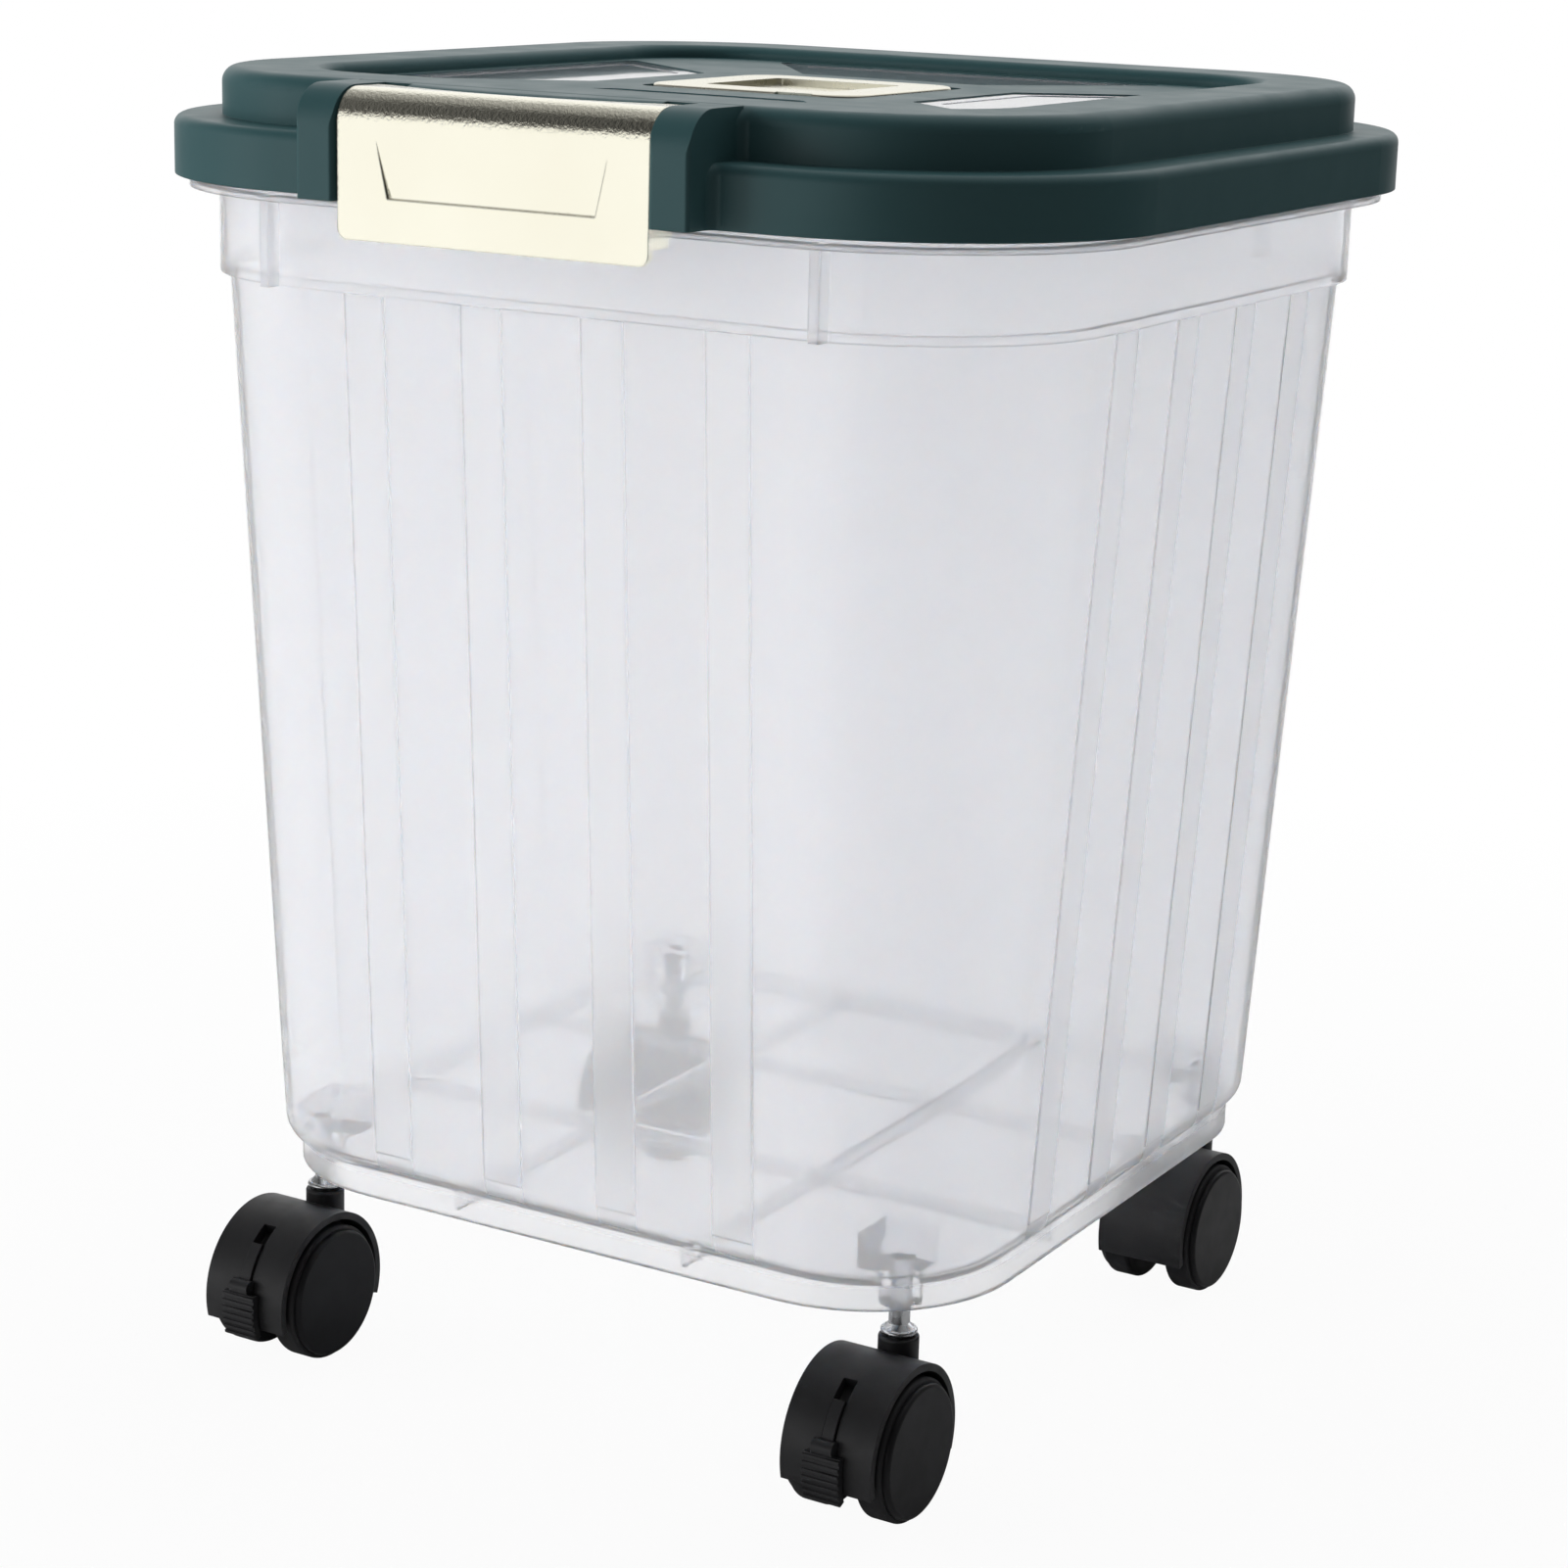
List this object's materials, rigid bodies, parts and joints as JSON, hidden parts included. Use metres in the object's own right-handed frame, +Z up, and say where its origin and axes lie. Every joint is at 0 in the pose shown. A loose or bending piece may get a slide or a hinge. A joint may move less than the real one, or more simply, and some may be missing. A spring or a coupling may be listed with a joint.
{
  "type": "rice bin with flip lid",
  "caption": "Clear tapered rice bin on swivel casters, with a flip lid that turns on a rear hinge and is held down by a front latch.",
  "frame": {"origin": "on the floor under the middle of the bin", "axes": "+X to the right, -Y towards the latch side, +Z up"},
  "size_m": [0.3, 0.321, 0.3823],
  "materials": {
    "clear_body": "clear, slightly milky",
    "clear_window": "clear, polished",
    "lid_green": "satin",
    "gold_plate": "polished champagne metallic",
    "seal_white": "matte",
    "caster_black": "matte",
    "wheel_black": "matte",
    "cap_black": "satin",
    "zinc_steel": "bright zinc"
  },
  "bodies": {
    "bin": {"bin_body": "clear_body", "stem_front_left": "zinc_steel", "stem_front_right": "zinc_steel", "stem_rear_left": "zinc_steel", "stem_rear_right": "zinc_steel"},
    "lid": {"lid_frame": "lid_green", "window_front": "clear_window", "window_rear": "clear_window", "window_left": "clear_window", "window_right": "clear_window", "lid_gasket": "seal_white", "centre_plate": "gold_plate", "latch_pins": "zinc_steel", "hinge_pins": "zinc_steel"},
    "latch": {"latch_plate": "gold_plate"},
    "swivel_front_left": {"hood_front_left": "caster_black", "axle_front_left": "zinc_steel"},
    "wheel_left_front_left": {"wheel_left_front_left": "wheel_black", "cap_left_front_left": "cap_black"},
    "wheel_right_front_left": {"wheel_right_front_left": "wheel_black", "cap_right_front_left": "cap_black"},
    "brake_front_left": {"brake_front_left": "caster_black"},
    "swivel_front_right": {"hood_front_right": "caster_black", "axle_front_right": "zinc_steel"},
    "wheel_left_front_right": {"wheel_left_front_right": "wheel_black", "cap_left_front_right": "cap_black"},
    "wheel_right_front_right": {"wheel_right_front_right": "wheel_black", "cap_right_front_right": "cap_black"},
    "brake_front_right": {"brake_front_right": "caster_black"},
    "swivel_rear_left": {"hood_rear_left": "caster_black", "axle_rear_left": "zinc_steel"},
    "wheel_left_rear_left": {"wheel_left_rear_left": "wheel_black", "cap_left_rear_left": "cap_black"},
    "wheel_right_rear_left": {"wheel_right_rear_left": "wheel_black", "cap_right_rear_left": "cap_black"},
    "swivel_rear_right": {"hood_rear_right": "caster_black", "axle_rear_right": "zinc_steel"},
    "wheel_left_rear_right": {"wheel_left_rear_right": "wheel_black", "cap_left_rear_right": "cap_black"},
    "wheel_right_rear_right": {"wheel_right_rear_right": "wheel_black", "cap_right_rear_right": "cap_black"}
  },
  "joints": [
    {"name": "lid_hinge", "type": "hinge", "parent": "bin", "child": "lid", "pos_m": [0, 0.1555, 0.3558], "axis": [-1, 0, 0], "range_deg": [0, 105]},
    {"name": "latch_pivot", "type": "hinge", "parent": "lid", "child": "latch", "pos_m": [0, -0.1416, 0.379], "axis": [-1, 0, 0], "range_deg": [0, 45]},
    {"name": "swivel_front_left", "type": "hinge", "parent": "bin", "child": "swivel_front_left", "pos_m": [-0.1, -0.1, 0.0555], "axis": [0, 0, 1], "continuous": true},
    {"name": "spin_left_front_left", "type": "hinge", "parent": "swivel_front_left", "child": "wheel_left_front_left", "pos_m": [-0.1, -0.1155, 0.0205], "axis": [1, 0, 0], "continuous": true},
    {"name": "spin_right_front_left", "type": "hinge", "parent": "swivel_front_left", "child": "wheel_right_front_left", "pos_m": [-0.1, -0.1155, 0.0205], "axis": [1, 0, 0], "continuous": true},
    {"name": "brake_slide_front_left", "type": "hinge", "parent": "swivel_front_left", "child": "brake_front_left", "pos_m": [-0.1, -0.1155, 0.0205], "axis": [-1, 0, 0], "range_deg": [0, 14]},
    {"name": "swivel_front_right", "type": "hinge", "parent": "bin", "child": "swivel_front_right", "pos_m": [0.1, -0.1, 0.0555], "axis": [0, 0, 1], "continuous": true},
    {"name": "spin_left_front_right", "type": "hinge", "parent": "swivel_front_right", "child": "wheel_left_front_right", "pos_m": [0.1, -0.1155, 0.0205], "axis": [1, 0, 0], "continuous": true},
    {"name": "spin_right_front_right", "type": "hinge", "parent": "swivel_front_right", "child": "wheel_right_front_right", "pos_m": [0.1, -0.1155, 0.0205], "axis": [1, 0, 0], "continuous": true},
    {"name": "brake_slide_front_right", "type": "hinge", "parent": "swivel_front_right", "child": "brake_front_right", "pos_m": [0.1, -0.1155, 0.0205], "axis": [-1, 0, 0], "range_deg": [0, 14]},
    {"name": "swivel_rear_left", "type": "hinge", "parent": "bin", "child": "swivel_rear_left", "pos_m": [-0.1, 0.1, 0.0555], "axis": [0, 0, 1], "continuous": true},
    {"name": "spin_left_rear_left", "type": "hinge", "parent": "swivel_rear_left", "child": "wheel_left_rear_left", "pos_m": [-0.1, 0.0845, 0.0205], "axis": [1, 0, 0], "continuous": true},
    {"name": "spin_right_rear_left", "type": "hinge", "parent": "swivel_rear_left", "child": "wheel_right_rear_left", "pos_m": [-0.1, 0.0845, 0.0205], "axis": [1, 0, 0], "continuous": true},
    {"name": "swivel_rear_right", "type": "hinge", "parent": "bin", "child": "swivel_rear_right", "pos_m": [0.1, 0.1, 0.0555], "axis": [0, 0, 1], "continuous": true},
    {"name": "spin_left_rear_right", "type": "hinge", "parent": "swivel_rear_right", "child": "wheel_left_rear_right", "pos_m": [0.1, 0.0845, 0.0205], "axis": [1, 0, 0], "continuous": true},
    {"name": "spin_right_rear_right", "type": "hinge", "parent": "swivel_rear_right", "child": "wheel_right_rear_right", "pos_m": [0.1, 0.0845, 0.0205], "axis": [1, 0, 0], "continuous": true}
  ]
}
